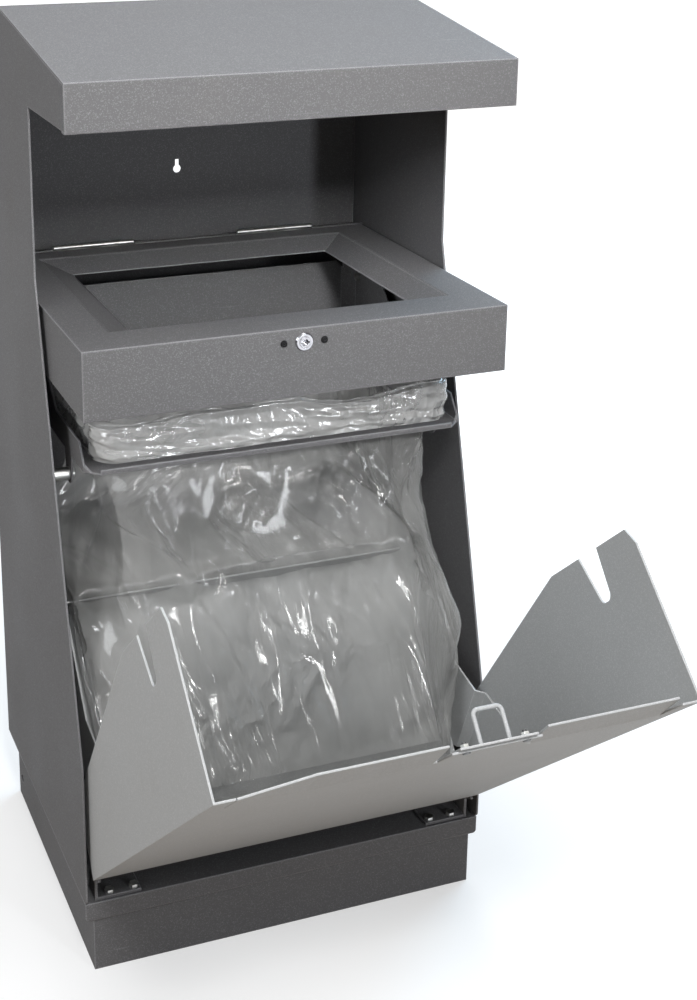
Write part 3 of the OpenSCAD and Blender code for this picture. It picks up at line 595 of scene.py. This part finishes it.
def film_collar():
    """The bag's mouth: gathered upwards through the frame, turned over and bunched."""
    columns, rows = 520, 90
    film_down, seam_fade, hem_fade = 0.13, 0.03, 0.01
    # Front y and z, back y and z, half width, corner radius: from the outer hem over the top
    # and down inside
    rows_mm = [
        (30, 586, 327, 586, 205, 26), (28.5, 596, 328, 596, 206, 26),
        (28.5, 612, 328, 612, 206.5, 26), (29.5, 628, 327, 628, 206, 26),
        (33, 633, 324, 633, 203, 26), (37, 628, 320, 628, 199, 26),
        (39, 612, 318, 612, 197, 26), (41, 598, 316, 598, 195, 28),
        (46, 588, 313, 588, 191, 30), (56, 584, 309, 584, 186, 30),
    ]
    points, uv = ring_points(smooth_rows(rows_mm, rows), np.linspace(0, film_down, rows), columns)
    u, v = uv[..., 0], uv[..., 1]
    fade = np.clip((v[-1:] - v) / seam_fade, 0, 1) * np.clip(v / hem_fade, 0.25, 1)
    push = (crumple(u * 0.3, v * 2.0, 0.04, 31, 4) - 0.6) * 0.010
    push += (crumple(u * 0.5, v, 0.012, 32, 4) - 0.5) * 0.004
    points += normals_of(points) * (push * fade)[..., None]
    # The top sags here and there between the places where it is bunched
    sag, sag_from = 0.009, 0.60
    dips = np.clip(value_noise(u / 0.12, v * 0 + 2, 40) + 0.2, 0, 1)
    points[..., 2] -= sag * dips * np.clip((points[..., 2] - sag_from) / 0.03, 0, 1)
    return grid_mesh("bag_collar", points, uv, FILM, "housing")


film_bag()
film_collar()


# Camera, floor and lamps

def photo_camera():
    """The photograph's camera, from the lens and the place solved on the bin's own edges."""
    picture_w, picture_h, sensor = 697, 1000, 36.0
    focal, centre_x, centre_y = 1652.6, 262.0, 300.0
    yaw, pitch, roll = 0.36065, 0.28613, -0.00178
    place_at = Vector((-0.6070, -1.5195 - PLINTH_DEPTH / 2 * MM, 1.2344))
    forward = Vector((math.sin(yaw) * math.cos(pitch), math.cos(yaw) * math.cos(pitch),
                      -math.sin(pitch)))
    level = Vector((math.cos(yaw), -math.sin(yaw), 0))
    down = forward.cross(level)
    right = math.cos(roll) * level + math.sin(roll) * down
    below = math.cos(roll) * down - math.sin(roll) * level
    camera = bpy.data.objects.new("camera", bpy.data.cameras.new("camera"))
    bpy.context.scene.collection.objects.link(camera)
    turn = Matrix((right, -below, -forward)).transposed()
    camera.matrix_world = Matrix.Translation(place_at) @ turn.to_4x4()
    camera.data.sensor_width = sensor
    camera.data.lens = focal * sensor / picture_h
    camera.data.shift_x = (picture_w / 2 - centre_x) / picture_h
    camera.data.shift_y = (centre_y - picture_h / 2) / picture_h
    camera.data.clip_start, camera.data.clip_end = 0.05, 50.0
    bpy.context.scene.camera = camera


def softbox(name, at, look_at, width, height, power, tint=(1, 1, 1), spread=math.pi):
    """A flat lamp aimed at a place; a smaller spread keeps its light nearer to its aim."""
    lamp = bpy.data.lights.new(name, "AREA")
    lamp.spread = spread
    lamp.shape, lamp.size, lamp.size_y, lamp.energy = "RECTANGLE", width, height, power
    lamp.color = tint
    stand = bpy.data.objects.new(name, lamp)
    stand.location = at
    stand.rotation_mode = "QUATERNION"
    stand.rotation_quaternion = (Vector(look_at) - Vector(at)).to_track_quat("-Z", "Y")
    bpy.context.scene.collection.objects.link(stand)


def unlit_share(tree):
    """1 for the rays of the camera, of gloss and of clear film, 0 for light that bounces."""
    path = tree.nodes.new("ShaderNodeLightPath")
    glossy = math_node(tree, "MAXIMUM", path.outputs["Is Glossy Ray"],
                       path.outputs["Is Transmission Ray"])
    return math_node(tree, "MAXIMUM", path.outputs["Is Camera Ray"], glossy)


def studio():
    """White floor that keeps the bin's shadow, white world and soft lamps."""
    side = 12.0
    floor_mesh = bpy.data.meshes.new("floor")
    floor_mesh.from_pydata([(-side, -side, 0), (side, -side, 0), (side, side, 0),
                            (-side, side, 0)], [], [(0, 1, 2, 3)])
    floor_at = bpy.data.objects.new("floor", floor_mesh)
    bpy.context.scene.collection.objects.link(floor_at)
    material, tree, shader = new_material("studio floor")
    speckle = add(tree, "ShaderNodeTexNoise", Scale=40.0, Detail=5.0)
    link(tree, add(tree, "ShaderNodeTexCoord").outputs["Object"], speckle.inputs["Vector"])
    seen = unlit_share(tree)
    # The floor bounces a warm brown but looks white, and glows less round the bin's own shadow
    bounced = mix_colour(tree, speckle.outputs["Fac"], (0.23, 0.175, 0.125), (0.26, 0.20, 0.145))
    link(tree, mix_colour(tree, seen, bounced, (0.50, 0.50, 0.50)), shader.inputs["Base Color"])
    shader.inputs["Emission Color"].default_value = (1, 1, 1, 1)
    away = add(tree, "ShaderNodeVectorMath", _operation="LENGTH")
    link(tree, add(tree, "ShaderNodeTexCoord").outputs["Object"], away.inputs[0])
    glow = scaled(tree, ramp(tree, away.outputs["Value"], 0.5, 1.6), 0.5, 0.50)
    link(tree, math_node(tree, "MULTIPLY", seen, glow), shader.inputs["Emission Strength"])
    shader.inputs["Roughness"].default_value = 0.9
    shader.inputs["Specular IOR Level"].default_value = 0.0
    floor_mesh.materials.append(material)
    world = bpy.data.worlds.new("studio")
    world.use_nodes = True
    tree = world.node_tree
    background = tree.nodes["Background"]
    background.inputs["Color"].default_value = (1, 1, 1, 1)
    lights, shows = 0.25, 1.0
    strength = scaled(tree, unlit_share(tree), shows - lights, lights)
    link(tree, strength, background.inputs["Strength"])
    bpy.context.scene.world = world
    softbox("ceiling", (0.4, 0.1, 3.0), (0, 0, 0.6), 1.6, 1.2, 40)
    softbox("key", (-0.3, -2.2, 1.95), (0, -0.2, 1.08), 0.4, 0.4, 1.5, spread=math.radians(34))
    softbox("front", (-0.3, -2.0, 2.6), (0, 0, 0.6), 0.6, 0.5, 30)
    softbox("left", (-3.0, -0.9, 1.8), (0, -0.2, 0.5), 1.4, 1.4, 42, (0.94, 0.97, 1.0))
    softbox("window", (2.6, 1.6, 2.3), (0, 0, 0.8), 1.8, 1.6, 78, (0.50, 0.77, 1.0))
    softbox("flash", (-0.5, -2.0, 2.2), (0, 0, 0.5), 0.25, 0.25, 20)
    softbox("strip", (0.80, -2.6, 0.80), (0, -0.2, 0.45), 0.16, 1.2, 20, (0.92, 0.95, 1.0))
    bpy.context.scene.view_settings.view_transform = "Standard"


photo_camera()
studio()
